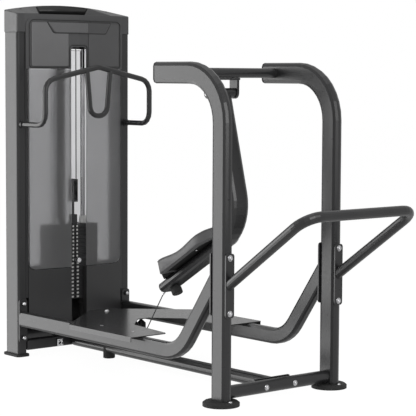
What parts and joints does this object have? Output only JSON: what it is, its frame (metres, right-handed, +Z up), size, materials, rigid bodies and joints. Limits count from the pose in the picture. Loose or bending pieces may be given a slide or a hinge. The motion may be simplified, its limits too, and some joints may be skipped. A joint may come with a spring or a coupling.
{
  "type": "standing glute kickback machine",
  "caption": "Selectorized standing kickback machine: weight tower with frosted windows and bent hand rail, step platform, rear arms with a guard rail, and a hinged kick arm with a foot pad.",
  "frame": {"origin": "centre of the bounding box in X and Y, on the floor", "axes": "+X from the weight tower towards the rear guard rail, +Y towards the right hand of a user who stands on the platform and faces the tower, +Z up"},
  "size_m": [2.0938, 0.762, 1.6628],
  "materials": {
    "black_frame": "satin textured powder coat",
    "black_rubber": "matt",
    "grey_plastic": "fine grained",
    "frosted_window": "frosted, lets light through",
    "shroud_steel": "satin",
    "plate_iron": "satin paint on cast plates",
    "chrome": "polished",
    "bright_steel": "brushed",
    "pulley_plastic": "moulded",
    "cable_black": "smooth jacket",
    "step_steel": "satin textured powder coat",
    "board_black": "painted plywood",
    "pad_vinyl": "grained vinyl upholstery"
  },
  "bodies": {
    "frame": {"tower_upright_left": "black_frame", "tower_upright_right": "black_frame", "tower_base_beam": "black_frame", "tower_top_beam": "black_frame", "tower_hand_rail": "black_frame", "side_rail_left": "black_frame", "side_rail_right": "black_frame", "spine_tube": "black_frame", "rear_cross_tube": "black_frame", "rear_upright_left": "black_frame", "rear_upright_right": "black_frame", "guard_rail": "black_frame", "crossbar": "black_frame", "pivot_bracket": "black_frame", "tower_foot_left": "black_rubber", "tower_foot_right": "black_rubber", "rear_foot_left": "black_rubber", "rear_foot_right": "black_rubber", "arm_end_plug_left": "black_rubber", "arm_end_plug_right": "black_rubber", "stack_buffer_left": "black_rubber", "stack_buffer_right": "black_rubber", "top_cap": "grey_plastic", "placard_panel": "grey_plastic", "front_window_left": "frosted_window", "front_window_right": "frosted_window", "rear_cover": "frosted_window", "front_lower_panel_left": "shroud_steel", "front_lower_panel_right": "shroud_steel", "resting_plates": "plate_iron", "guide_rod_left": "chrome", "guide_rod_right": "chrome", "pivot_pin": "bright_steel", "cable_lift_run": "cable_black", "cable_return_run": "cable_black", "cable_arm_run": "cable_black", "platform": "step_steel"},
    "arm": {"kick_arm": "black_frame", "kick_end_plug": "black_rubber", "arm_bumper": "black_rubber", "cable_anchor": "bright_steel", "pad_board": "board_black", "pad": "pad_vinyl"},
    "stack": {"stack_head": "plate_iron", "top_plate": "plate_iron", "weight_plate_02": "plate_iron", "weight_plate_03": "plate_iron", "weight_plate_04": "plate_iron", "weight_plate_05": "plate_iron", "weight_plate_06": "plate_iron", "weight_plate_07": "plate_iron", "weight_plate_08": "plate_iron", "weight_plate_09": "plate_iron", "weight_plate_10": "plate_iron", "lift_pulley_block": "plate_iron"},
    "selector_pin_body": {"selector_pin": "bright_steel"},
    "top_pulley_body": {"top_pulley": "pulley_plastic"},
    "base_pulley_body": {"base_pulley": "pulley_plastic"},
    "platform_pulley_body": {"platform_pulley": "pulley_plastic"},
    "lift_pulley_body": {"lift_pulley": "pulley_plastic"}
  },
  "joints": [
    {"name": "kick_swing", "type": "hinge", "parent": "frame", "child": "arm", "pos_m": [0.1759, 0, 1.257], "axis": [0, -1, 0], "range_deg": [0, 60], "deforming": ["cable_arm_run"]},
    {"name": "stack_lift", "type": "slide", "parent": "frame", "child": "stack", "axis": [0, 0, 1], "range_m": [0, 0.461], "deforming": ["cable_lift_run"]},
    {"name": "selector_pull", "type": "slide", "parent": "stack", "child": "selector_pin_body", "axis": [1, 0, 0], "range_m": [0, 0.055]},
    {"name": "base_pulley_spin", "type": "hinge", "parent": "frame", "child": "base_pulley_body", "pos_m": [-0.9791, 0, 0.13], "axis": [0, -1, 0], "range_deg": [0, 1165]},
    {"name": "platform_pulley_spin", "type": "hinge", "parent": "frame", "child": "platform_pulley_body", "pos_m": [-0.4271, 0, 0.13], "axis": [0, -1, 0], "range_deg": [0, 1165]},
    {"name": "top_pulley_spin", "type": "hinge", "parent": "frame", "child": "top_pulley_body", "pos_m": [-0.98535, 0, 1.405], "axis": [0, -1, 0], "range_deg": [0, 1353]},
    {"name": "lift_pulley_spin", "type": "hinge", "parent": "stack", "child": "lift_pulley_body", "pos_m": [-0.9221, 0, 0.79], "axis": [0, -1, 0], "range_deg": [-1070, 0]}
  ],
  "couplings": [
    {"joint": "stack_lift", "follows": "kick_swing", "m_per_rad": 0.4364},
    {"joint": "base_pulley_spin", "follows": "kick_swing", "ratio": 19.396},
    {"joint": "platform_pulley_spin", "follows": "kick_swing", "ratio": 19.396},
    {"joint": "top_pulley_spin", "follows": "kick_swing", "ratio": 22.524},
    {"joint": "lift_pulley_spin", "follows": "kick_swing", "ratio": -17.812}
  ]
}
